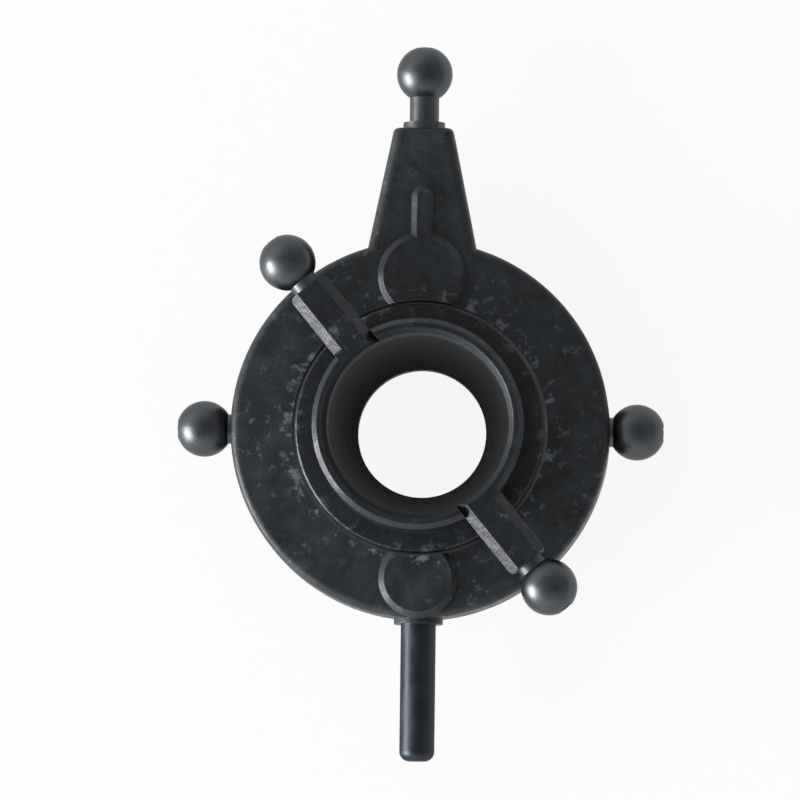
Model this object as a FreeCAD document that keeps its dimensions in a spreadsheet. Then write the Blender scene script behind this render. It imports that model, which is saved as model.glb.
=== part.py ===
"""Swashplate of a small model helicopter, as a parametric assembly.

+Z is the rotor axis, pointing up. +Y points along the long front arm. The origin is on the rotor axis, in the
plane of the stationary linkage balls.

Stationary body: ring, three ball studs, anti-rotation pin, outer race and its snap ring.
Rotating body: hub, two ball studs, inner race and its snap ring.
Cage body: two cage halves and the bearing balls.
"""
import FreeCAD, Part
import math
import os
import Sketcher

SIZES = {
    # linkage balls and their studs
    "link_ball_radius": 2.0,
    "tip_flat_depth": 0.08,
    "neck_radius": 1.05,
    "neck_seat_depth": 0.5,
    "shank_radius": 0.8,
    "shank_length": 1.6,
    "collar_radius": 1.5,
    "collar_length": 0.5,
    "hex_radius": 0.72,
    "hex_depth": 0.9,
    "side_neck_length": 0.23,
    "front_neck_length": 2.3,
    "rotating_neck_length": 0.6,
    # bearing
    "bearing_bore_radius": 7.5,
    "bearing_outer_radius": 10.5,
    "bearing_top": 1.4,
    "bearing_under": -2.6,
    "race_chamfer": 0.2,
    "bearing_ball_radius": 0.8,
    "land_offset": 0.45,
    "track_clearance": 0.04,
    "cage_half_thickness": 0.3,
    "cage_half_height": 1.15,
    "cage_pocket_clearance": 0.05,
    # stationary ring
    "ring_wall": 3.0,
    "ring_top": 2.0,
    "ring_under": -2.2,
    "base_wall": 1.7,
    "base_level": -4.2,
    "lip_offset": 0.1,
    "ring_top_round": 0.6,
    "ring_under_round": 0.5,
    "base_chamfer": 0.3,
    # front arm
    "arm_root_reach": 11.3,
    "arm_root_width": 8.4,
    "arm_end_reach": 21.6,
    "arm_end_width": 4.2,
    "arm_end_top": 1.8,
    "arm_edge_round": 0.7,
    "arm_end_round": 0.4,
    "core_wall": 1.3,
    "core_root_wall": 0.9,
    "core_end_wall": 3.0,
    "core_depth": 1.7,
    "core_corner": 0.45,
    # raised bosses on the ring
    "boss_top": 2.6,
    "boss_edge": 0.4,
    "front_boss_radius": 3.1,
    "front_boss_reach": 10.9,
    "tongue_radius": 0.75,
    "tongue_length": 5.7,
    "rear_boss_radius": 2.8,
    # anti-rotation pin
    "pin_radius": 1.25,
    "pin_shank_radius": 1.0,
    "pin_reach": 23.6,
    "pin_root_wall": 0.9,
    "pin_tip_round": 0.7,
    "pin_eye_wall": 0.5,
    "pin_eye_length": 0.35,
    # snap rings
    "snap_thickness": 0.6,
    "snap_side_clearance": 0.05,
    "ring_groove_depth": 0.6,
    "ring_snap_width": 1.1,
    "ring_snap_gap": 3.2,
    "lug_radius": 0.7,
    "lug_inset": 0.2,
    "lug_hole_radius": 0.3,
    "hub_groove_depth": 0.5,
    "hub_snap_width": 1.15,
    "hub_snap_gap": 2.4,
    # rotating hub
    "sleeve_under": -3.9,
    "shoulder_gap": 0.35,
    "shoulder_height": 0.2,
    "flange_gap": 0.25,
    "flange_top": 2.6,
    "flange_edge": 0.12,
    "rim_radius": 7.5,
    "rim_top": 6.3,
    "rim_edge": 0.35,
    "rotating_arm_inset": 1.0,
    "rotating_arm_width": 3.1,
    "rotating_arm_thickness": 2.4,
    "rotating_arm_bevel": 0.65,
    "rotating_arm_end_round": 0.35,
    "rotating_arm_angle": 129.4,
    # pivot ball seat in the hub
    "throat_radius": 4.6,
    "throat_chamfer": 0.3,
    "rim_wall": 1.05,
    "seat_undercut": 0.15,
    "seat_middle": 2.2,
    # fits
    "press_clearance": 0.01,
    "snap_clearance": 0.05,
}

# sizes that follow from the others
FORMULAS = {
    "ball_tip_flat": "link_ball_radius - tip_flat_depth",
    "ball_back": "sqrt(link_ball_radius ^ 2 - neck_radius ^ 2)",
    "pitch_radius": "(bearing_bore_radius + bearing_outer_radius) / 2",
    "bearing_middle": "(bearing_top + bearing_under) / 2",
    "ring_radius": "bearing_outer_radius + ring_wall",
    "base_radius": "bearing_outer_radius + base_wall",
    "lip_radius": "pitch_radius + lip_offset",
    "tongue_reach": "front_boss_reach + tongue_length",
    "rear_boss_reach": "ring_radius - rear_boss_radius",
    "pin_root_reach": "bearing_outer_radius + pin_root_wall",
    "pin_eye_radius": "pin_radius + pin_eye_wall",
    "pin_eye_reach": "ring_radius + pin_eye_length",
    "snap_groove_width": "snap_thickness + snap_side_clearance",
    "ring_groove_radius": "bearing_outer_radius + ring_groove_depth",
    "ring_snap_outside": "ring_groove_radius - snap_clearance",
    "ring_snap_inside": "ring_snap_outside - ring_snap_width",
    "lug_reach": "ring_snap_inside - lug_inset",
    "lug_spread": "ring_snap_gap / 2 + lug_radius",
    "hub_groove_radius": "bearing_bore_radius - hub_groove_depth",
    "hub_snap_inside": "hub_groove_radius + snap_clearance",
    "hub_snap_outside": "hub_snap_inside + hub_snap_width",
    "shoulder_radius": "pitch_radius - land_offset - shoulder_gap",
    "flange_radius": "lip_radius - flange_gap",
    "rotating_arm_reach": "ring_radius - rotating_arm_inset",
    "rotating_arm_under": "rim_top - rotating_arm_thickness",
    "socket_radius": "rim_radius - rim_wall",
    "seat_radius": "socket_radius + seat_undercut",
}
BEARING_BALLS = 13
OVERRUN = 1.0  # how far a cut runs past the face that it opens

doc = FreeCAD.newDocument("swashplate")
sheet = doc.addObject("Spreadsheet::Sheet", "sizes")
cells = [(alias, str(number)) for alias, number in SIZES.items()]
cells += [(alias, f"={formula}") for alias, formula in FORMULAS.items()]
for row, (alias, content) in enumerate(cells, start=1):
    sheet.set(f"A{row}", alias)
    sheet.setAlias(f"B{row}", alias)
    sheet.set(f"B{row}", content)
doc.recompute()


class Size:
    """A dimension that carries its number and the sheet expression that it comes from."""

    def __init__(self, number, text):
        self.number = float(number)
        self.text = text

    def _with(self, sign, other, number):
        return Size(number, f"({self.text} {sign} {as_size(other).text})")

    def __add__(self, other):
        return self._with("+", other, self.number + as_size(other).number)

    def __sub__(self, other):
        return self._with("-", other, self.number - as_size(other).number)

    def __mul__(self, other):
        return self._with("*", other, self.number * as_size(other).number)

    def __truediv__(self, other):
        return self._with("/", other, self.number / as_size(other).number)

    def __neg__(self):
        return Size(-self.number, f"(0 - {self.text})")


def as_size(value):
    return value if isinstance(value, Size) else Size(value, repr(float(value)))


class Free:
    """A coordinate that an arc of the outline decides. The number is only where it starts."""

    def __init__(self, number):
        self.number = number


def size(alias):
    return Size(sheet.get(alias), f"sizes.{alias}")


def bind(feature, name, value):
    """Sets a property of a feature and binds it to the sheet."""
    feature.setExpression(name, as_size(value).text)


def new_body(label, turn=None, place=(0, 0, 0)):
    """A body turned about Z by an angle and moved to a place, both bound to the sheet."""
    body = doc.addObject("PartDesign::Body", label)
    body.Label = label
    bases = [as_size(value) for value in place]
    spin = as_size(turn if turn is not None else 0)
    up = FreeCAD.Vector(0, 0, 1)
    body.Placement = FreeCAD.Placement(
        FreeCAD.Vector(*[base.number for base in bases]), FreeCAD.Rotation(up, spin.number)
    )
    for axis, base in zip("xyz", bases):
        bind(body, f"Placement.Base.{axis}", base)
    if spin.number:
        bind(body, "Placement.Rotation.Angle", spin)
    return body


def new_sketch(body, name, role, height=0):
    """A sketch on one of the body's own origin planes, raised by a height along the plane's normal."""
    sketch = body.newObject("Sketcher::SketchObject", f"{body.Label}_{name}")
    plane = next(part for part in body.Origin.OriginFeatures if part.Role == role)
    sketch.AttachmentSupport = [(plane, "")]
    sketch.MapMode = "FlatFace"
    height = as_size(height)
    sketch.AttachmentOffset = FreeCAD.Placement(FreeCAD.Vector(0, 0, height.number), FreeCAD.Rotation())
    bind(sketch, "AttachmentOffset.Base.z", height)
    return sketch


def pin_point(sketch, geometry, point, x, y):
    """Holds a point of a sketch at x, y: on an axis where the value is zero, else by a bound distance."""
    for kind, axis, value in (("DistanceX", -2, x), ("DistanceY", -1, y)):
        if isinstance(value, Free):
            continue
        value = as_size(value)
        if value.number == 0.0:
            sketch.addConstraint(Sketcher.Constraint("PointOnObject", geometry, point, axis))
            continue
        index = sketch.addConstraint(Sketcher.Constraint(kind, -1, 1, geometry, point, value.number))
        sketch.setExpression(f"Constraints[{index}]", value.text)


def join(sketch, line, end, other, other_end):
    sketch.addConstraint(Sketcher.Constraint("Coincident", line, end, other, other_end))


def chain(sketch, points):
    """Straight lines joined end to end through points, all held but the last. Returns the lines' numbers."""
    corners = [FreeCAD.Vector(*[getattr(value, "number", value) for value in point], 0) for point in points]
    lines = [sketch.addGeometry(Part.LineSegment(*ends), False) for ends in zip(corners, corners[1:])]
    for line, point in zip(lines, points):
        pin_point(sketch, line, 1, *point)
    for line, following in zip(lines, lines[1:]):
        join(sketch, line, 2, following, 1)
    return lines


def polygon(sketch, points):
    """A closed outline of straight lines through points, each coordinate bound to the sheet."""
    lines = chain(sketch, points + points[:1])
    join(sketch, lines[-1], 2, lines[0], 1)


def circle(sketch, radius, x=0, y=0):
    radius = as_size(radius)
    middle = FreeCAD.Vector(as_size(x).number, as_size(y).number, 0)
    up = FreeCAD.Vector(0, 0, 1)
    index = sketch.addGeometry(Part.Circle(middle, up, radius.number), False)
    pin_point(sketch, index, 3, x, y)
    held = sketch.addConstraint(Sketcher.Constraint("Radius", index, radius.number))
    sketch.setExpression(f"Constraints[{held}]", radius.text)


def rectangle(sketch, x0, x1, y0, y1):
    polygon(sketch, [(x0, y0), (x1, y0), (x1, y1), (x0, y1)])


def rounded_rectangle(sketch, x0, x1, y0, y1, corner):
    """A rectangle whose corners are quarter circles of one radius."""
    lines = [((x0 + corner, y0), (x1 - corner, y0)), ((x1, y0 + corner), (x1, y1 - corner)),
             ((x1 - corner, y1), (x0 + corner, y1)), ((x0, y1 - corner), (x0, y0 + corner))]
    middles = [(x1 - corner, y0 + corner), (x1 - corner, y1 - corner),
               (x0 + corner, y1 - corner), (x0 + corner, y0 + corner)]
    up = FreeCAD.Vector(0, 0, 1)
    for ends in lines:
        start, stop = [FreeCAD.Vector(x.number, y.number, 0) for x, y in ends]
        line = sketch.addGeometry(Part.LineSegment(start, stop), False)
        for point, (x, y) in enumerate(ends, start=1):
            pin_point(sketch, line, point, x, y)
    for at, (x, y) in enumerate(middles):
        quarter = Part.Circle(FreeCAD.Vector(x.number, y.number, 0), up, corner.number)
        begin = math.radians(90 * (at - 1))
        arc = sketch.addGeometry(Part.ArcOfCircle(quarter, begin, begin + math.radians(90)), False)
        join(sketch, at, 2, arc, 1)
        join(sketch, arc, 2, (at + 1) % len(lines), 1)
        held = sketch.addConstraint(Sketcher.Constraint("Radius", arc, corner.number))
        sketch.setExpression(f"Constraints[{held}]", corner.text)


def turned(body, kind, name, points, axis="V_Axis"):
    """A Revolution or a Groove of an outline in the XZ plane: distances along X, heights along Z."""
    sketch = new_sketch(body, f"{name}_outline", "XZ_Plane")
    polygon(sketch, points)
    return turn_sketch(body, kind, name, sketch, axis)


def turn_sketch(body, kind, name, sketch, axis="V_Axis"):
    feature = body.newObject(f"PartDesign::{kind}", f"{body.Label}_{name}")
    feature.Profile = sketch
    feature.ReferenceAxis = (sketch, [axis])
    feature.Angle = 360.0
    return feature


def pad(body, name, sketch, length, backwards=False):
    feature = body.newObject("PartDesign::Pad", f"{body.Label}_{name}")
    feature.Profile = sketch
    bind(feature, "Length", length)
    feature.Reversed = backwards
    return feature


def pocket(body, name, sketch, depth, backwards=False):
    """A pocket that cuts against the sketch's normal, or along it where it is backwards."""
    doc.recompute()
    before = body.Shape.Volume
    feature = body.newObject("PartDesign::Pocket", f"{body.Label}_{name}")
    feature.Profile = sketch
    bind(feature, "Length", depth)
    feature.Reversed = backwards
    doc.recompute()
    if not body.Shape.Volume < before:
        raise RuntimeError(f"{feature.Name} cuts nothing")
    return feature


def repeat(body, name, features, count):
    """The features again at equal angles about the body's Z axis."""
    pattern = body.newObject("PartDesign::PolarPattern", f"{body.Label}_{name}")
    pattern.Originals = features
    axis = next(part for part in body.Origin.OriginFeatures if part.Role == "Z_Axis")
    pattern.Axis = (axis, [""])
    pattern.Angle = 360.0
    pattern.Occurrences = count
    body.Tip = pattern
    return pattern


def edges_where(body, test):
    """The names of the edges of the body's tip that pass a test."""
    doc.recompute()
    shape = body.Tip.Shape
    return [f"Edge{at}" for at, edge in enumerate(shape.Edges, start=1) if test(edge)]


def ease(body, kind, name, amount, test, expected):
    """A Fillet or Chamfer of the edges that pass a test, which must be as many as expected."""
    names = edges_where(body, test)
    if len(names) != expected:
        raise RuntimeError(f"{body.Label} {name}: {len(names)} edges, not {expected}")
    base = body.Tip
    feature = body.newObject(f"PartDesign::{kind}", f"{body.Label}_{name}")
    feature.Base = (base, names)
    bind(feature, "Radius" if kind == "Fillet" else "Size", amount)
    doc.recompute()
    return feature


def is_circle(edge, radius, level):
    """Whether an edge is an arc about the Z axis with this radius and level."""
    curve = edge.Curve
    if not isinstance(curve, Part.Circle):
        return False
    centred = math.hypot(curve.Center.x, curve.Center.y) < 1e-4
    return centred and abs(curve.Radius - radius.number) < 1e-4 and abs(curve.Center.z - level.number) < 1e-4


def is_line(edge, test):
    """Whether an edge is straight and its middle point and direction pass a test."""
    ends = [vertex.Point for vertex in edge.Vertexes]
    if len(ends) != 2:
        return False
    chord = ends[1] - ends[0]
    if edge.Length - chord.Length > 1e-5:
        return False
    return test((ends[0] + ends[1]) * 0.5, chord.normalize())


def stud_hole(body, name, face, role, height, backwards=False):
    """The stepped hole of a ball stud: a seat for its neck and a deeper one for its shank.

    The face is how far the opened face is from the plane, and is negative on the plane's far side."""
    sign = -1 if as_size(face).number < 0 else 1
    start = face + OVERRUN * sign
    neck = new_sketch(body, f"{name}_seat_outline", role, start)
    circle(neck, size("neck_radius") + size("press_clearance"), 0, height)
    seat = pocket(body, f"{name}_seat", neck, size("neck_seat_depth") + OVERRUN, backwards)
    shank = new_sketch(body, f"{name}_hole_outline", role, start)
    circle(shank, size("shank_radius") + size("press_clearance"), 0, height)
    depth = size("neck_seat_depth") + size("shank_length") + size("press_clearance") + OVERRUN
    return [seat, pocket(body, f"{name}_hole", shank, depth, backwards)]


def stationary_ring():
    body = new_body("stationary_ring")
    ring, top, under = size("ring_radius"), size("ring_top"), size("ring_under")
    base, foot = size("base_level"), size("base_radius")
    bore = size("bearing_outer_radius") + size("press_clearance")
    groove, shelf = size("ring_groove_radius"), size("bearing_top")
    snap_top = size("bearing_under")
    snap_under = snap_top - size("snap_groove_width")
    turned(body, "Revolution", "disc", [
        (bore, base), (foot, base), (foot, under), (ring, under), (ring, top), (0, top), (0, shelf),
        (bore, shelf), (bore, snap_top), (groove, snap_top), (groove, snap_under), (bore, snap_under),
    ])
    ease(body, "Fillet", "top_round", size("ring_top_round"), lambda e: is_circle(e, ring, top), 1)
    ease(body, "Fillet", "under_round", size("ring_under_round"), lambda e: is_circle(e, ring, under), 1)

    front_arm(body)
    raised_bosses(body)

    # the opening that the hub's flange turns in
    opening = new_sketch(body, "opening_outline", "XY_Plane", size("boss_top") + OVERRUN)
    circle(opening, size("lip_radius"))
    pocket(body, "opening", opening, size("boss_top") + OVERRUN - shelf)

    # holes of the three ball studs and of the anti-rotation pin
    stud_hole(body, "right", ring, "YZ_Plane", 0)
    stud_hole(body, "left", -ring, "YZ_Plane", 0, backwards=True)
    stud_hole(body, "front", -size("arm_end_reach"), "XZ_Plane", 0, backwards=True)
    pin_hole = new_sketch(body, "pin_hole_outline", "XZ_Plane", size("pin_eye_reach") + OVERRUN)
    circle(pin_hole, size("pin_shank_radius") + size("press_clearance"))
    depth = size("pin_eye_reach") - size("pin_root_reach") + size("press_clearance") + OVERRUN
    pocket(body, "pin_hole", pin_hole, depth)

    ease(body, "Chamfer", "base_edge", size("base_chamfer"), lambda e: is_circle(e, foot, base), 1)
    ease(body, "Chamfer", "bore_edge", size("base_chamfer"), lambda e: is_circle(e, bore, base), 1)
    return body


def front_arm(body):
    """The long arm: a loft from a wide root inside the ring to a narrow end, its long edges rounded."""
    sections = []
    for name, reach, width, top, under in (
        ("root", size("arm_root_reach"), size("arm_root_width"), size("ring_top"), size("ring_under")),
        ("end", size("arm_end_reach"), size("arm_end_width"), size("arm_end_top"), -size("arm_end_top")),
    ):
        section = new_sketch(body, f"arm_{name}_section", "XZ_Plane", -reach)
        rounded_rectangle(section, -width / 2, width / 2, under, top, size("arm_edge_round"))
        sections.append(section)
    loft = body.newObject("PartDesign::AdditiveLoft", f"{body.Label}_front_arm")
    loft.Profile = sections[0]
    loft.Sections = sections[1:]
    loft.Ruled = True
    end = size("arm_end_reach").number
    ease(body, "Fillet", "arm_end_round", size("arm_end_round"), lambda e: e.CenterOfMass.y > end - 0.01, 8)
    arm_core(body)


def arm_core(body):
    """The hollow moulded into the arm's underside, with walls of one thickness along the arm's two sides."""
    root, end = size("arm_root_reach"), size("arm_end_reach")
    taper = (size("arm_root_width") - size("arm_end_width")) / (end - root)
    near, far = size("ring_radius") + size("core_root_wall"), end - size("core_end_wall")
    near_half, far_half = [
        (size("arm_root_width") - taper * (reach - root)) / 2 - size("core_wall") for reach in (near, far)
    ]
    outline = new_sketch(body, "core_outline", "XY_Plane", size("ring_under") - OVERRUN)
    polygon(outline, [(-near_half, near), (near_half, near), (far_half, far), (-far_half, far)])
    pocket(body, "core", outline, size("core_depth") + OVERRUN, backwards=True)
    ceiling = size("ring_under").number + size("core_depth").number

    def upright_corner(edge):
        ends = sorted(vertex.Point.z for vertex in edge.Vertexes)
        inside = near.number - 0.01 < edge.CenterOfMass.y < far.number + 0.01
        upright = is_line(edge, lambda middle, way: abs(way.z) > 0.9)
        return inside and upright and abs(ends[-1] - ceiling) < 1e-4

    ease(body, "Fillet", "core_corner", size("core_corner"), upright_corner, 4)


def raised_bosses(body):
    """The round front boss with its tongue along the arm, the rear boss, and the eye round the pin's root."""
    top = size("boss_top")
    start = size("ring_top") - size("ring_top_round")
    for name, radius, reach in (
        ("front_boss", size("front_boss_radius"), size("front_boss_reach")),
        ("rear_boss", size("rear_boss_radius"), -size("rear_boss_reach")),
    ):
        outline = new_sketch(body, f"{name}_outline", "XY_Plane", start)
        circle(outline, radius, 0, reach)
        pad(body, name, outline, top - start)
    half = size("tongue_radius")
    tongue = new_sketch(body, "tongue_outline", "XY_Plane", start)
    rectangle(tongue, -half, half, size("front_boss_reach"), size("tongue_reach"))
    pad(body, "tongue", tongue, top - start)
    tongue_end = new_sketch(body, "tongue_end_outline", "XY_Plane", start)
    circle(tongue_end, half, 0, size("tongue_reach"))
    pad(body, "tongue_end", tongue_end, top - start)
    doc.recompute()

    def top_edge(edge):
        flat = all(abs(vertex.Point.z - top.number) < 1e-4 for vertex in edge.Vertexes)
        return flat and abs(edge.CenterOfMass.z - top.number) < 1e-4

    ease(body, "Chamfer", "boss_edge", size("boss_edge"), top_edge, len(edges_where(body, top_edge)))
    eye = new_sketch(body, "pin_eye_outline", "XZ_Plane", size("pin_eye_reach"))
    circle(eye, size("pin_eye_radius"))
    pad(body, "pin_eye", eye, size("pin_eye_reach") - size("pin_root_reach"), backwards=True)


def stud_outline(sketch, stem, tip):
    """The outline of a ball stud over its own X axis: the stem, then the ball's arc, then its tip flat."""
    ball, neck = size("link_ball_radius"), size("neck_radius")
    at_neck = math.pi - math.asin(neck.number / ball.number)
    at_tip = math.acos(tip.number / ball.number)
    stem_lines = chain(sketch, stem + [(Free(ball.number * math.cos(at_neck)), neck)])
    pin_point(sketch, stem_lines[-1], 2, Free(0), neck)
    face_lines = chain(sketch, [(tip, Free(ball.number * math.sin(at_tip))), (tip, 0), stem[0]])
    join(sketch, face_lines[-1], 2, stem_lines[0], 1)
    whole = Part.Circle(FreeCAD.Vector(0, 0, 0), FreeCAD.Vector(0, 0, 1), ball.number)
    arc = sketch.addGeometry(Part.ArcOfCircle(whole, at_tip, at_neck), False)
    join(sketch, arc, 3, -1, 1)
    join(sketch, arc, 1, face_lines[0], 1)
    join(sketch, arc, 2, stem_lines[-1], 2)
    held = sketch.addConstraint(Sketcher.Constraint("Radius", arc, ball.number))
    sketch.setExpression(f"Constraints[{held}]", ball.text)


def ball_stud(label, seat, turn, place, collar=False):
    """A stud along its own X axis: ball at the origin, neck and shank behind it, driver socket in its tip.

    The seat is how far the ball's middle stands out from the face that the stud is screwed into."""
    body = new_body(label, turn, place)
    neck, shank = size("neck_radius"), size("shank_radius")
    neck_end = -seat - size("neck_seat_depth")
    shank_end = neck_end - size("shank_length")
    stem = [(shank_end, 0), (shank_end, shank), (neck_end, shank), (neck_end, neck)]
    if collar:
        wide = size("collar_radius")
        collar_end = size("collar_length") - seat
        stem += [(-seat, neck), (-seat, wide), (collar_end, wide), (collar_end, neck)]
    sketch = new_sketch(body, "stud_outline", "XZ_Plane")
    stud_outline(sketch, stem, size("ball_tip_flat"))
    turn_sketch(body, "Revolution", "stud", sketch, "H_Axis")
    socket = new_sketch(body, "socket_outline", "YZ_Plane", size("link_ball_radius"))
    corners = [math.radians(60 * at) for at in range(6)]
    radius = size("hex_radius")
    polygon(socket, [(radius * math.cos(at), radius * math.sin(at)) for at in corners])
    pocket(body, "socket", socket, size("hex_depth"))
    return body


def anti_rotation_pin():
    """A plain rod that points to the rear, with a rounded tip and a thinner shank pressed into the ring."""
    body = new_body("anti_rotation_pin")
    root, face, reach = size("pin_root_reach"), size("pin_eye_reach"), size("pin_reach")
    for name, start, stop, radius in (
        ("shank", root, face, size("pin_shank_radius")),
        ("rod", face, reach, size("pin_radius")),
    ):
        outline = new_sketch(body, f"{name}_outline", "XZ_Plane", start)
        circle(outline, radius)
        pad(body, name, outline, stop - start)
    tip_level, root_level = -reach.number, -root.number
    ease(body, "Fillet", "tip_round", size("pin_tip_round"), lambda e: e.CenterOfMass.y < tip_level + 0.01, 1)
    at_root = lambda e: e.CenterOfMass.y > root_level - 0.01
    ease(body, "Chamfer", "root_edge", size("race_chamfer"), at_root, 1)
    return body


def race(label, wall, land):
    """A bearing race between the wall that it is fitted by and the land beside its ball track."""
    body = new_body(label)
    top, under = size("bearing_top"), size("bearing_under")
    inner, outer = (wall, land) if wall.number < land.number else (land, wall)
    turned(body, "Revolution", "blank", [(inner, under), (outer, under), (outer, top), (inner, top)])
    track = new_sketch(body, "track_outline", "XZ_Plane")
    track_radius = size("bearing_ball_radius") + size("track_clearance")
    circle(track, track_radius, size("pitch_radius"), size("bearing_middle"))
    turn_sketch(body, "Groove", "track", track)
    ease(body, "Chamfer", "corner", size("race_chamfer"),
         lambda e: is_circle(e, wall, top) or is_circle(e, wall, under), 2)
    return body


def cage_half(label, up):
    """Half of the cage, a band split through the balls' middle plane, with a half round pocket for each."""
    body = new_body(label, place=(0, 0, size("bearing_middle")))
    pitch, thick = size("pitch_radius"), size("cage_half_thickness")
    edge = size("cage_half_height") * (1 if up else -1)
    low, high = (0, edge) if up else (edge, 0)
    turned(body, "Revolution", "band", [
        (pitch - thick, low), (pitch + thick, low), (pitch + thick, high), (pitch - thick, high),
    ])
    seat = new_sketch(body, "pocket_outline", "YZ_Plane", pitch + OVERRUN)
    circle(seat, size("bearing_ball_radius") + size("cage_pocket_clearance"))
    first = pocket(body, "pocket", seat, OVERRUN * 2)
    repeat(body, "pockets", [first], BEARING_BALLS)
    return body


def bearing_ball(number):
    """One ball of the bearing, on the pitch circle."""
    label = f"bearing_ball_{number + 1:02d}"
    angle = 2 * math.pi * number / BEARING_BALLS
    ball = doc.addObject("Part::Sphere", label)
    ball.Label = label
    bind(ball, "Radius", size("bearing_ball_radius"))
    pitch = size("pitch_radius")
    middle = (pitch * math.cos(angle), pitch * math.sin(angle), size("bearing_middle"))
    for axis, value in zip("xyz", middle):
        bind(ball, f"Placement.Base.{axis}", value)
    return ball


def snap_ring(label, kind, turn, lugs):
    """A flat split ring, with eyes beside its gap where it has lugs. The gap is on its own +X side."""
    inside, outside, gap = size(f"{kind}_inside"), size(f"{kind}_outside"), size(f"{kind}_gap")
    thick = size("snap_thickness")
    body = new_body(label, turn=turn, place=(0, 0, size("bearing_under") - thick))
    flat = new_sketch(body, "ring_outline", "XY_Plane")
    circle(flat, outside)
    circle(flat, inside)
    pad(body, "ring", flat, thick)
    if lugs:
        eyes = new_sketch(body, "lug_outline", "XY_Plane")
        for side in (-1, 1):
            circle(eyes, size("lug_radius"), size("lug_reach"), size("lug_spread") * side)
        pad(body, "lugs", eyes, thick)
    slot = new_sketch(body, "gap_outline", "XY_Plane", thick + OVERRUN)
    rectangle(slot, inside - OVERRUN, outside + OVERRUN, -gap / 2, gap / 2)
    pocket(body, "gap", slot, thick + OVERRUN * 2)
    if lugs:
        holes = new_sketch(body, "lug_hole_outline", "XY_Plane", thick + OVERRUN)
        for side in (-1, 1):
            circle(holes, size("lug_hole_radius"), size("lug_reach"), size("lug_spread") * side)
        pocket(body, "lug_holes", holes, thick + OVERRUN * 2)
    return body


def rotating_hub():
    """The hub: sleeve through the bearing, flange, rim round the pivot ball's seat, and two bevelled arms.

    The arms lie along the body's own X axis, and its Placement turns them."""
    body = new_body("rotating_hub", turn=size("rotating_arm_angle"))
    sleeve = size("bearing_bore_radius") - size("press_clearance")
    floor, shelf = size("sleeve_under"), size("bearing_top")
    groove, shoulder = size("hub_groove_radius"), size("shoulder_radius")
    snap_top = size("bearing_under")
    snap_under = snap_top - size("snap_groove_width")
    flange, flange_top = size("flange_radius"), size("flange_top")
    relief = shelf + size("shoulder_height")
    rim, top = size("rim_radius"), size("rim_top")
    turned(body, "Revolution", "blank", [
        (0, floor), (sleeve, floor), (sleeve, snap_under), (groove, snap_under), (groove, snap_top),
        (sleeve, snap_top), (sleeve, shelf), (shoulder, shelf), (shoulder, relief), (flange, relief),
        (flange, flange_top), (rim, flange_top), (rim, top), (0, top),
    ])
    ease(body, "Chamfer", "rim_edge", size("rim_edge"), lambda e: is_circle(e, rim, top), 1)
    ease(body, "Chamfer", "flange_edge", size("flange_edge"), lambda e: is_circle(e, flange, flange_top), 1)
    rotating_arms(body)
    pivot_seat(body)
    return body


def rotating_arms(body):
    """One bar across the hub makes both arms. A bevel runs along each long top edge.

    On one side of each arm the bevel stops at the rim, on the other it runs on across the rim's top."""
    reach, half = size("rotating_arm_reach"), size("rotating_arm_width") / 2
    under, top, bevel = size("rotating_arm_under"), size("rim_top"), size("rotating_arm_bevel")
    bar = new_sketch(body, "arm_outline", "XY_Plane", under)
    rectangle(bar, -reach, reach, -half, half)
    pad(body, "arms", bar, top - under)
    end = reach.number

    def upright_corner(edge):
        return is_line(edge, lambda middle, way: abs(middle.x) > end - 0.01 and abs(way.z) > 0.9)

    ease(body, "Fillet", "arm_end_round", size("rotating_arm_end_round"), upright_corner, 4)
    bevels = []
    for name, side, stop in (("short", 1, size("rim_radius")), ("long", -1, size("throat_radius"))):
        wedge = new_sketch(body, f"{name}_bevel_outline", "YZ_Plane", reach + OVERRUN)
        polygon(wedge, [((half - bevel) * side, top), (half * side, top), (half * side, top - bevel)])
        bevels.append(pocket(body, f"{name}_bevel", wedge, reach + OVERRUN - stop))
    middle = (under + top) / 2
    holes = stud_hole(body, "arm_stud", reach, "YZ_Plane", middle)
    repeat(body, "second_arm", bevels + holes, 2)


def pivot_seat(body):
    """The open centre: throat, spherical seat for the pivot ball, and the socket's mouth above it."""
    throat, mouth, eased = size("throat_radius"), size("socket_radius"), size("throat_chamfer")
    floor, top, rim_edge = size("sleeve_under"), size("rim_top"), size("rim_edge")
    middle = size("seat_middle")
    turned(body, "Groove", "bore", [
        (0, floor - OVERRUN), (throat + eased, floor - OVERRUN), (throat + eased, floor),
        (throat, floor + eased), (throat, middle), (mouth, middle), (mouth, top - rim_edge),
        (mouth + rim_edge, top), (mouth + rim_edge, top + OVERRUN), (0, top + OVERRUN),
    ])
    seat = body.newObject("PartDesign::SubtractiveSphere", f"{body.Label}_seat")
    plane = next(part for part in body.Origin.OriginFeatures if part.Role == "XY_Plane")
    seat.AttachmentSupport = [(plane, "")]
    seat.MapMode = "FlatFace"
    bind(seat, "AttachmentOffset.Base.z", middle)
    bind(seat, "Radius", size("seat_radius"))


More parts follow.
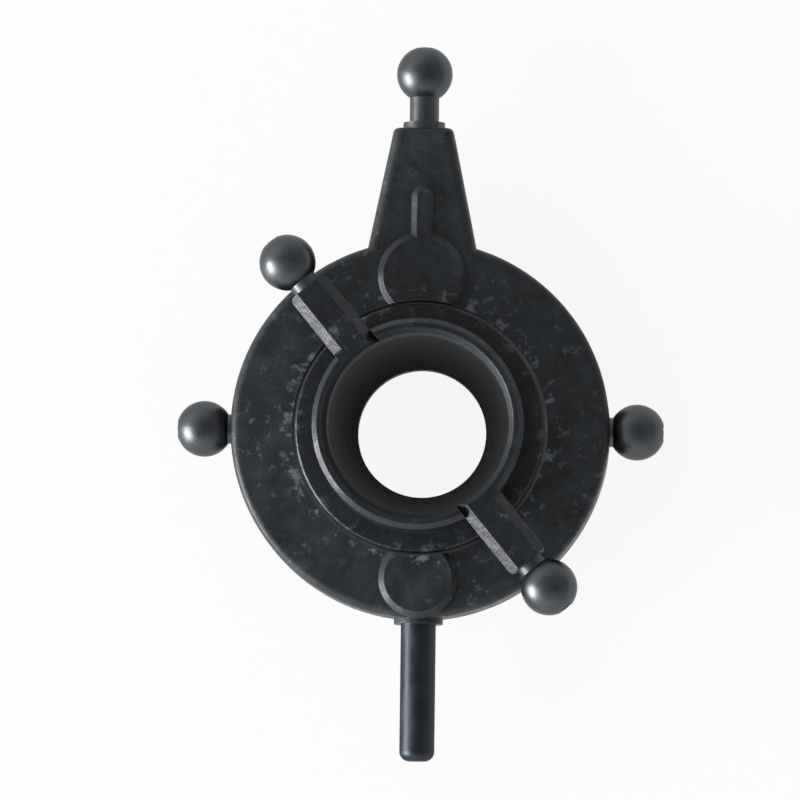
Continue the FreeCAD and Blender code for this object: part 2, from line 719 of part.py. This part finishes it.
def build():
    """Every sub-part of the swashplate."""
    side_seat = size("side_neck_length") + size("ball_back")
    side = size("ring_radius") + side_seat
    front_seat = size("front_neck_length") + size("ball_back")
    front = size("arm_end_reach") + front_seat
    parts = [
        stationary_ring(),
        ball_stud("right_ball_stud", side_seat, 0, (side, 0, 0)),
        ball_stud("left_ball_stud", side_seat, 180, (-side, 0, 0)),
        ball_stud("front_ball_stud", front_seat, 90, (0, front, 0), collar=True),
        anti_rotation_pin(),
        race("bearing_outer_race", size("bearing_outer_radius"), size("pitch_radius") + size("land_offset")),
        snap_ring("ring_snap_ring", "ring_snap", 90, lugs=True),
        rotating_hub(),
    ]
    seat, angle = size("rotating_neck_length") + size("ball_back"), size("rotating_arm_angle")
    reach = size("rotating_arm_reach") + seat
    level = (size("rotating_arm_under") + size("rim_top")) / 2
    for name, half_turn in (("a", 0), ("b", 180)):
        bearing = math.radians(angle.number + half_turn)
        place = (reach * math.cos(bearing), reach * math.sin(bearing), level)
        parts.append(ball_stud(f"rotating_ball_stud_{name}", seat, angle + half_turn, place))
    parts += [
        race("bearing_inner_race", size("bearing_bore_radius"), size("pitch_radius") - size("land_offset")),
        snap_ring("hub_snap_ring", "hub_snap", -90, lugs=False),
        cage_half("cage_upper_half", True),
        cage_half("cage_lower_half", False),
    ]
    parts += [bearing_ball(number) for number in range(BEARING_BALLS)]
    doc.recompute()
    return parts


def write(parts):
    """Checks the document and each sub-part, then writes one file for each."""
    for item in doc.Objects:
        if "Invalid" in item.State or "Error" in item.State:
            raise RuntimeError(f"{item.Name}: {item.State}")
    for item in parts:
        shape = item.Shape
        if shape.isNull() or not shape.isValid() or len(shape.Solids) != 1:
            raise RuntimeError(f"{item.Label} isn't one valid solid")
    os.makedirs("parts", exist_ok=True)
    for item in parts:
        item.Shape.exportStep(os.path.join("parts", f"{item.Label}.step"))
        box = item.Shape.BoundBox
        print(f"{item.Label:24s} {item.Shape.Volume:9.2f} mm3  z {box.ZMin:6.2f} to {box.ZMax:6.2f}")


write(build())
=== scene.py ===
"""Looks of the model helicopter swashplate: materials, small detail, light and camera.

Lengths are in metres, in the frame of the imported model: +Z is the rotor axis, +Y the long front arm.
"""

import math

import bmesh
import bpy
from mathutils import Matrix, Vector


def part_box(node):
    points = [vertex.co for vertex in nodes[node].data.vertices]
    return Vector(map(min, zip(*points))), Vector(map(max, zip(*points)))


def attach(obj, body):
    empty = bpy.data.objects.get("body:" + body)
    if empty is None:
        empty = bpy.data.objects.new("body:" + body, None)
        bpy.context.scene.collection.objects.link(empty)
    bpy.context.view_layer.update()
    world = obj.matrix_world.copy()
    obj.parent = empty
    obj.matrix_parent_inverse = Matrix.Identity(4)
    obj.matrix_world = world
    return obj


MM = 0.001

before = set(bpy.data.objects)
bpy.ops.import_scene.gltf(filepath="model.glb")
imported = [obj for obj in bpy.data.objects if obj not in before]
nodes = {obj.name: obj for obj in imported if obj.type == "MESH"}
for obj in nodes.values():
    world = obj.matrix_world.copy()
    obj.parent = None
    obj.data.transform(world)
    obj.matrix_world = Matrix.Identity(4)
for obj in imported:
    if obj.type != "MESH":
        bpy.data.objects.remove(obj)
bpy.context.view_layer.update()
ORIGIN = Vector((0, 0, 0))
UP = Vector((0, 0, 1))

# camera: straight down the rotor axis, a little from the rear and the right, far away
VIEW_LEAN = Vector((0.04, -0.09, 1.0))
VIEW_DISTANCE = 0.6
VIEW_HEIGHT = 57.1 * MM  # what the picture's side spans at the target
VIEW_TARGET = Vector((-1.5, 2.19, 0.0)) * MM
VIEW_ROLL = math.radians(0.7)
SENSOR = 36.0  # the film's side in millimetres

# light: from low on the left, a little towards the rear
BRIGHT_SIDE = (-0.95, -0.30, 0.0)
LAMP_RISE = 0.17
LAMP_DISTANCE = 0.9
LAMP_SIZE = 0.52
LAMP_RADIANCE = 19.0
SKY_GREYS = ((0.40, 0.90), (0.92, 0.26))  # (height, grey), from near the horizon to overhead
SKY_SIDES = (0.42, 1.65)  # strength on the dark side and on the bright side

# floor: a hair under the ring, so that no face of the part lies in its plane
FLOOR_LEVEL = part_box("stationary_ring")[0].z - 0.01 * MM
FLOOR_HALF = 1.5
FLOOR_GLOW = 0.90  # how much of the floor that the camera and reflections see is plain white

FULL_REACH = 20 * MM  # the distance from the rotor axis that position 1 on a radial ramp stands for
BALL_TIP_SHARE = 0.96  # from a link ball's middle to the flat on its tip, as a share of its radius

# a mix node's sockets for colours, as numbers, because its other kinds of value share their names
MIX_FACTOR = 0
MIX_FIRST = 6
MIX_SECOND = 7
MIXED = 2


# ---------------------------------------------------------------- node material helpers


class Shader:
    """A material's node tree, with short calls to add and join nodes."""

    def __init__(self, name):
        self.material = bpy.data.materials.new(name)
        self.material.use_nodes = True
        self.tree = self.material.node_tree
        self.tree.nodes.clear()
        self.surface = self.add("ShaderNodeBsdfPrincipled")
        self.output = self.add("ShaderNodeOutputMaterial")
        self.join(self.surface, "BSDF", self.output, "Surface")
        self.place = self.add("ShaderNodeTexCoord")

    def add(self, kind, **values):
        """A node, with its properties and its unlinked inputs set by name."""
        node = self.tree.nodes.new(kind)
        for key, value in values.items():
            if hasattr(node, key):
                setattr(node, key, value)
            else:
                node.inputs[key.replace("_", " ")].default_value = value
        return node

    def join(self, source, output, target, name):
        """A link from one node's output to another's input, each by name or number."""
        self.tree.links.new(source.outputs[output], target.inputs[name])

    def noise(self, scale, detail=2.0, roughness=0.5):
        """Noise that rides on its piece, with features about 1 / scale metres wide."""
        node = self.add("ShaderNodeTexNoise", Scale=scale, Detail=detail, Roughness=roughness)
        self.join(self.place, "Object", node, "Vector")
        return node

    def ramp(self, source, output, stops):
        """A colour ramp through stops of (position, grey or colour)."""
        node = self.add("ShaderNodeValToRGB")
        elements = node.color_ramp.elements
        while len(elements) < len(stops):
            elements.new(0.5)
        for element, (position, colour) in zip(elements, stops):
            element.position = position
            colour = colour if isinstance(colour, tuple) else (colour, colour, colour)
            element.color = (*colour, 1.0)
        self.join(source, output, node, "Fac")
        return node

    def blend(self, factor, factor_output, first, second):
        """A colour mix. Each of first and second is a colour or a (node, output) pair."""
        node = self.add("ShaderNodeMix", data_type="RGBA")
        self.join(factor, factor_output, node, MIX_FACTOR)
        for slot, value in ((MIX_FIRST, first), (MIX_SECOND, second)):
            if len(value) == 2:
                self.join(*value, node, slot)
            else:
                node.inputs[slot].default_value = (*value, 1.0)
        return node

    def both(self, first, second):
        """Where two ramps are both bright."""
        node = self.add("ShaderNodeMix", data_type="RGBA", blend_type="MULTIPLY")
        node.inputs[MIX_FACTOR].default_value = 1.0
        self.join(first, "Color", node, MIX_FIRST)
        self.join(second, "Color", node, MIX_SECOND)
        return node

    def colour(self, node, output):
        """Takes the surface's colour from a node."""
        self.join(node, output, self.surface, "Base Color")

    def bump(self, source, output, depth, below=None):
        """Adds relief of a depth in metres, over relief that is already there."""
        node = self.add("ShaderNodeBump", Strength=1.0, Distance=depth)
        self.join(source, output, node, "Height")
        if below is not None:
            self.join(below, "Normal", node, "Normal")
        self.join(node, "Normal", self.surface, "Normal")
        return node

    def edges(self, radius, low, high):
        """1 along edges and 0 on open faces, from how far a rounded normal leans from the true one."""
        rounded = self.add("ShaderNodeBevel", samples=10, Radius=radius)
        true = self.add("ShaderNodeNewGeometry")
        lean = self.add("ShaderNodeVectorMath", operation="DOT_PRODUCT")
        self.join(rounded, "Normal", lean, 0)
        self.join(true, "Normal", lean, 1)
        return self.ramp(lean, "Value", [(low, 1.0), (high, 0.0)])

    def polar(self, source, output):
        """A vector's distance from Z, and its three parts, as two nodes."""
        parts = self.add("ShaderNodeSeparateXYZ")
        self.join(source, output, parts, "Vector")
        flat = self.add("ShaderNodeCombineXYZ")
        self.join(parts, "X", flat, "X")
        self.join(parts, "Y", flat, "Y")
        distance = self.add("ShaderNodeVectorMath", operation="LENGTH")
        self.join(flat, "Vector", distance, 0)
        return distance, parts


def radius_from_axis(shader):
    """The distance from the rotor axis, as a share of the full reach."""
    distance, _ = shader.polar(shader.place, "Object")
    share = shader.add("ShaderNodeMath", operation="DIVIDE")
    shader.join(distance, "Value", share, 0)
    share.inputs[1].default_value = FULL_REACH
    return share


def about_axis(shader, centre, axis):
    """Texture space turned so that Z is a turning axis: gives distance from it and height along it."""
    turn = axis.rotation_difference(UP)
    moved = shader.add("ShaderNodeVectorMath", operation="SUBTRACT")
    shader.join(shader.place, "Object", moved, 0)
    moved.inputs[1].default_value = centre
    turned = shader.add("ShaderNodeVectorRotate", rotation_type="EULER_XYZ")
    shader.join(moved, 0, turned, "Vector")
    turned.inputs["Rotation"].default_value = turn.to_euler("XYZ")
    distance, parts = shader.polar(turned, "Vector")
    space = shader.add("ShaderNodeCombineXYZ")
    shader.join(distance, "Value", space, "X")
    shader.join(parts, "Z", space, "Y")
    return space


def times(colour, factor):
    """A colour made lighter or darker."""
    return tuple(factor * part for part in colour)


def nylon(name, dark, pale, fleck_and_glint, rough, lip_glint_radii, core_radius=None):
    """Black glass-filled nylon: cloudy mottling, soft pale flecks of fibre, fine grain and rubbed edges,
    which are partly a painted highlight along its edges and bevels.

    Between the two lip glint radii, where the hub turns in the ring's lip, it has broken pale marks, a
    painted highlight of glints along the lip's edge. Inside the core's radius, if it has one, the moulding is
    duller. Both go round the rotor axis."""
    shader = Shader(name)
    reach = radius_from_axis(shader)
    # mottling, with flecks in patches
    cloud = shader.noise(560.0, detail=5.0, roughness=0.66)
    body = shader.ramp(cloud, "Fac", [(0.38, dark), (0.66, pale)])
    speck = shader.noise(1350.0, detail=3.0, roughness=0.62)
    specks = shader.ramp(speck, "Fac", [(0.58, 0.0), (0.74, 0.9)])
    patch = shader.noise(210.0, detail=2.0)
    patches = shader.ramp(patch, "Fac", [(0.42, 0.05), (0.62, 1.0)])
    tone = shader.blend(shader.both(specks, patches), MIXED, (body, "Color"), fleck_and_glint)
    # rubbed edges, partly real wear and partly a painted highlight: every edge and bevel is lightened towards
    # twice the pale tone
    worn = shader.edges(0.20 * MM, 0.84, 0.985)
    scuff_and_glint_noise = shader.noise(1300.0, detail=3.0, roughness=0.6)
    edge_scuffs_and_highlight = shader.ramp(scuff_and_glint_noise, "Fac", [(0.32, 0.45), (0.62, 1.0)])
    tone = shader.blend(shader.both(worn, edge_scuffs_and_highlight), MIXED, (tone, MIXED), times(pale, 2.0))
    # painted highlight at the lip: broken pale glints, which fade in over 0.4 mm and out over 0.6 mm
    near, far = [radius / FULL_REACH for radius in lip_glint_radii]
    band = shader.ramp(reach, "Value", [(near - 0.02, 0.0), (near, 1.0), (far, 1.0), (far + 0.03, 0.0)])
    painted_glints = shader.ramp(scuff_and_glint_noise, "Fac", [(0.55, 0.0), (0.66, 0.85)])
    tone = shader.blend(shader.both(band, painted_glints), MIXED, (tone, MIXED), times(fleck_and_glint, 1.3))
    # gloss, and the duller core with its edge 0.16 mm soft
    gloss = shader.noise(800.0, detail=5.0, roughness=0.65)
    sheen = shader.ramp(gloss, "Fac", [(0.35, rough[0]), (0.70, rough[1])])
    if core_radius is None:
        shader.join(sheen, "Color", shader.surface, "Roughness")
    else:
        edge = core_radius / FULL_REACH
        core = shader.ramp(reach, "Value", [(edge - 0.004, 1.0), (edge + 0.004, 0.0)])
        tone = shader.blend(core, "Color", (tone, MIXED), times(dark, 1.6))
        duller = shader.blend(core, "Color", (sheen, "Color"), (0.66, 0.66, 0.66))
        shader.join(duller, MIXED, shader.surface, "Roughness")
    shader.colour(tone, MIXED)
    shader.surface.inputs["Specular IOR Level"].default_value = 0.42
    # fine grain and a shallow ripple
    grain = shader.noise(9000.0, detail=3.0, roughness=0.6)
    fine = shader.bump(grain, "Fac", 0.0035 * MM)
    ripple = shader.noise(1100.0, detail=3.0, roughness=0.55)
    shader.bump(ripple, "Fac", 0.06 * MM, below=fine)
    return shader.material


def turned_steel(name, colour, pale, rough, centre=ORIGIN, axis=UP, lines=9000.0, edge_tint=0.8):
    """Polished steel with fine turning lines round an axis, faint smears and paler rubbed edges."""
    shader = Shader(name)
    space = about_axis(shader, centre, axis)
    streak = shader.add("ShaderNodeTexNoise", Scale=lines, Detail=2.0, Roughness=0.6)
    shader.join(space, "Vector", streak, "Vector")
    smear = shader.noise(700.0, detail=4.0, roughness=0.6)
    tone = shader.blend(smear, "Fac", colour, tuple(0.5 * (a + b) for a, b in zip(colour, pale)))
    worn = shader.edges(0.12 * MM, 0.80, 0.98)
    shader.colour(shader.blend(worn, "Color", (tone, MIXED), pale), MIXED)
    shader.surface.inputs["Metallic"].default_value = 1.0
    shader.surface.inputs["Specular Tint"].default_value = (edge_tint, edge_tint, edge_tint, 1.0)
    sheen = shader.ramp(smear, "Fac", [(0.35, rough[0]), (0.70, rough[1])])
    shader.join(sheen, "Color", shader.surface, "Roughness")
    shader.bump(streak, "Fac", 0.004 * MM)
    return shader.material


# ---------------------------------------------------------------- finishes of the CAD nodes


def dress(node, material):
    """Gives a CAD node one material in all its slots."""
    mesh = nodes[node].data
    if not mesh.materials:
        mesh.materials.append(material)
    for slot in range(len(mesh.materials)):
        mesh.materials[slot] = material
    for face in mesh.polygons:
        face.use_smooth = True


def ball_centre(node, outward):
    """The middle of a stud's ball, from the stud's box.

    A stud along X or Y ends its box with the flat on the ball's tip, a slanting one with the ball's side."""
    low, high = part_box(node)
    radius = (high.z - low.z) / 2
    centre = (low + high) / 2
    for side in (0, 1):  # along X, then along Y
        if abs(outward[side]) < 0.01:
            centre[side] = 0.0
            continue
        inset = radius * (BALL_TIP_SHARE if abs(outward[side]) > 0.99 else 1.0)
        centre[side] = high[side] - inset if outward[side] > 0 else low[side] + inset
    return centre


def finishes():
    """Gives every CAD node its material."""
    ring = nylon(
        "ring_nylon",
        dark=(0.0098, 0.0125, 0.0148),
        pale=(0.027, 0.034, 0.039),
        fleck_and_glint=(0.12, 0.135, 0.15),
        rough=(0.38, 0.58),
        lip_glint_radii=(9.1 * MM, 9.7 * MM),
    )
    hub = nylon(
        "hub_nylon",
        dark=(0.0072, 0.0095, 0.0118),
        pale=(0.015, 0.019, 0.023),
        fleck_and_glint=(0.065, 0.075, 0.085),
        rough=(0.28, 0.44),
        lip_glint_radii=(8.6 * MM, 8.9 * MM),
        core_radius=6.75 * MM,
    )
    dress("stationary_ring", ring)
    dress("rotating_hub", hub)

    low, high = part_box("rotating_ball_stud_a")
    arm = (low + high) / 2
    arm_way = Vector((arm.x, arm.y, 0)).normalized()
    stud_ways = {
        "right_ball_stud": Vector((1, 0, 0)),
        "left_ball_stud": Vector((-1, 0, 0)),
        "front_ball_stud": Vector((0, 1, 0)),
        "rotating_ball_stud_a": arm_way,
        "rotating_ball_stud_b": -arm_way,
    }
    for node, way in stud_ways.items():
        steel = turned_steel(
            f"{node}_steel",
            colour=(0.064, 0.071, 0.076),
            pale=(0.18, 0.19, 0.20),
            rough=(0.31, 0.44),
            centre=ball_centre(node, way),
            axis=way,
        )
        dress(node, steel)
    pin = turned_steel(
        "pin_steel",
        colour=(0.030, 0.037, 0.045),
        pale=(0.10, 0.11, 0.12),
        rough=(0.34, 0.50),
        axis=Vector((0, -1, 0)),
        edge_tint=0.6,
    )
    dress("anti_rotation_pin", pin)

    ground = turned_steel(
        "bearing_steel",
        colour=(0.50, 0.50, 0.51),
        pale=(0.72, 0.72, 0.73),
        rough=(0.12, 0.24),
    )
    spring = turned_steel(
        "spring_steel",
        colour=(0.060, 0.060, 0.064),
        pale=(0.26, 0.26, 0.27),
        rough=(0.34, 0.52),
        lines=3000.0,
    )
    cage = turned_steel(
        "cage_steel",
        colour=(0.36, 0.36, 0.37),
        pale=(0.56, 0.56, 0.57),
        rough=(0.26, 0.40),
    )
    for node in nodes:
        if node.startswith("bearing_"):
            dress(node, ground)
        elif node.endswith("snap_ring"):
            dress(node, spring)
        elif node.startswith("cage_"):
            dress(node, cage)
    cage_rivets(ground)


# ---------------------------------------------------------------- small pieces


def cage_rivets(material):
    """The rivets' domed heads on the cage's underside, between the balls."""
    balls = sorted(node for node in nodes if node.startswith("bearing_ball_"))
    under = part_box("cage_lower_half")[0].z
    low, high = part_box(balls[0])
    ball = (low + high) / 2
    pitch = math.hypot(ball.x, ball.y)
    start = math.atan2(ball.y, ball.x)
    radius = 0.24 * MM
    height = 0.10 * MM
    shape = bmesh.new()
    for at in range(len(balls)):
        angle = start + 2 * math.pi * (at + 0.5) / len(balls)
        dome(shape, Vector((pitch * math.cos(angle), pitch * math.sin(angle), under)), radius, height)
    mesh = bpy.data.meshes.new("cage_rivets")
    shape.to_mesh(mesh)
    shape.free()
    for face in mesh.polygons:
        face.use_smooth = True
    mesh.materials.append(material)
    rivets = bpy.data.objects.new("cage_rivets", mesh)
    bpy.context.scene.collection.objects.link(rivets)
    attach(rivets, "cage")


def dome(shape, foot, radius, height, around=20, rings=4):
    """A closed dome that hangs down from a foot point, with its root sunk in what carries it."""
    sink = 0.05 * MM
    draw_in = 0.75  # 0 is a straight peg, 1 a round cap
    loops = []
    for level in [-sink] + [height * math.sin(0.5 * math.pi * at / rings) for at in range(rings)]:
        share = max(level, 0.0) / height
        wide = radius * math.sqrt(max(0.0, 1.0 - draw_in * share * share))
        loops.append([
            shape.verts.new(foot + Vector((wide * math.cos(turn), wide * math.sin(turn), -level)))
            for turn in [2 * math.pi * step / around for step in range(around)]
        ])
    for under, over in zip(loops, loops[1:]):
        for step in range(around):
            after = (step + 1) % around
            shape.faces.new((over[step], over[after], under[after], under[step]))
    shape.faces.new(loops[0])
    tip = shape.verts.new(foot - Vector((0, 0, height)))
    for step in range(around):
        shape.faces.new((tip, loops[-1][(step + 1) % around], loops[-1][step]))


# ---------------------------------------------------------------- floor, light and camera


def floor():
    """A plain pale floor that keeps a faint shadow and looks white to the camera and in reflections."""
    mesh = bpy.data.meshes.new("floor")
    shape = bmesh.new()
    bmesh.ops.create_grid(shape, x_segments=1, y_segments=1, size=FLOOR_HALF)
    shape.to_mesh(mesh)
    shape.free()
    plane = bpy.data.objects.new("floor", mesh)
    plane.location.z = FLOOR_LEVEL
    bpy.context.scene.collection.objects.link(plane)
    shader = Shader("floor_paper")
    fibre = shader.noise(900.0, detail=3.0)
    shader.colour(shader.ramp(fibre, "Fac", [(0.3, 0.86), (0.7, 0.90)]), "Color")
    shader.surface.inputs["Roughness"].default_value = 0.9
    glow = shader.add("ShaderNodeEmission", Strength=1.0)
    path = shader.add("ShaderNodeLightPath")
    seen = shader.add("ShaderNodeMath", operation="MAXIMUM")
    shader.join(path, "Is Camera Ray", seen, 0)
    shader.join(path, "Is Glossy Ray", seen, 1)
    share = shader.add("ShaderNodeMath", operation="MULTIPLY")
    shader.join(seen, "Value", share, 0)
    share.inputs[1].default_value = FLOOR_GLOW
    mix = shader.add("ShaderNodeMixShader")
    shader.join(share, "Value", mix, 0)
    shader.join(shader.surface, "BSDF", mix, 1)
    shader.join(glow, "Emission", mix, 2)
    shader.join(mix, "Shader", shader.output, "Surface")
    mesh.materials.append(shader.material)


def sky():
    """A plain grey studio: dim overhead, brighter round the horizon and to the left, darker to the right."""
    world = bpy.data.worlds.new("studio")
    bpy.context.scene.world = world
    world.use_nodes = True
    tree = world.node_tree
    tree.nodes.clear()
    place = tree.nodes.new("ShaderNodeTexCoord")
    parts = tree.nodes.new("ShaderNodeSeparateXYZ")
    height = tree.nodes.new("ShaderNodeValToRGB")
    for element, (position, grey) in zip(height.color_ramp.elements, SKY_GREYS):
        element.position = position
        element.color = (grey, grey, 1.02 * grey, 1)
    lean = tree.nodes.new("ShaderNodeVectorMath")
    lean.operation = "DOT_PRODUCT"
    lean.inputs[1].default_value = Vector(BRIGHT_SIDE).normalized()
    side = tree.nodes.new("ShaderNodeMapRange")
    side.inputs["From Min"].default_value = -1.0
    side.inputs["From Max"].default_value = 1.0
    side.inputs["To Min"].default_value = SKY_SIDES[0]
    side.inputs["To Max"].default_value = SKY_SIDES[1]
    back = tree.nodes.new("ShaderNodeBackground")
    out = tree.nodes.new("ShaderNodeOutputWorld")
    tree.links.new(place.outputs["Generated"], parts.inputs["Vector"])
    tree.links.new(place.outputs["Generated"], lean.inputs[0])
    tree.links.new(parts.outputs["Z"], height.inputs["Fac"])
    tree.links.new(lean.outputs["Value"], side.inputs["Value"])
    tree.links.new(height.outputs["Color"], back.inputs["Color"])
    tree.links.new(side.outputs["Result"], back.inputs["Strength"])
    tree.links.new(back.outputs["Background"], out.inputs["Surface"])


def softbox(name, direction, distance, size, radiance):
    """A square area light that faces the object, with its brightness given as radiance."""
    data = bpy.data.lights.new(name, "AREA")
    data.shape = "SQUARE"
    data.size = size
    data.energy = radiance * math.pi * size * size
    lamp = bpy.data.objects.new(name, data)
    towards = Vector(direction).normalized()
    lamp.location = towards * distance
    lamp.rotation_mode = "QUATERNION"
    lamp.rotation_quaternion = towards.to_track_quat("Z", "Y")
    bpy.context.scene.collection.objects.link(lamp)


def camera():
    """The photo's view: from far above with a long lens, +Y up in the picture but for a small roll."""
    data = bpy.data.cameras.new("camera")
    data.type = "PERSP"
    data.sensor_width = SENSOR
    data.lens = SENSOR * VIEW_DISTANCE / VIEW_HEIGHT
    data.clip_start = 0.05
    data.clip_end = 10.0
    cam = bpy.data.objects.new("camera", data)
    back = VIEW_LEAN.normalized()
    roll = Matrix.Rotation(VIEW_ROLL, 3, back)
    up = (roll @ (Vector((0, 1, 0)) - back * back.y)).normalized()
    right = up.cross(back)
    cam.rotation_mode = "QUATERNION"
    cam.rotation_quaternion = Matrix((right, up, back)).transposed().to_quaternion()
    cam.location = VIEW_TARGET + back * VIEW_DISTANCE
    bpy.context.scene.collection.objects.link(cam)
    bpy.context.scene.camera = cam


finishes()
floor()
sky()
lamp_way = (BRIGHT_SIDE[0], BRIGHT_SIDE[1], LAMP_RISE)
softbox("left_softbox", lamp_way, LAMP_DISTANCE, LAMP_SIZE, LAMP_RADIANCE)
camera()
bpy.context.scene.view_settings.view_transform = "Standard"
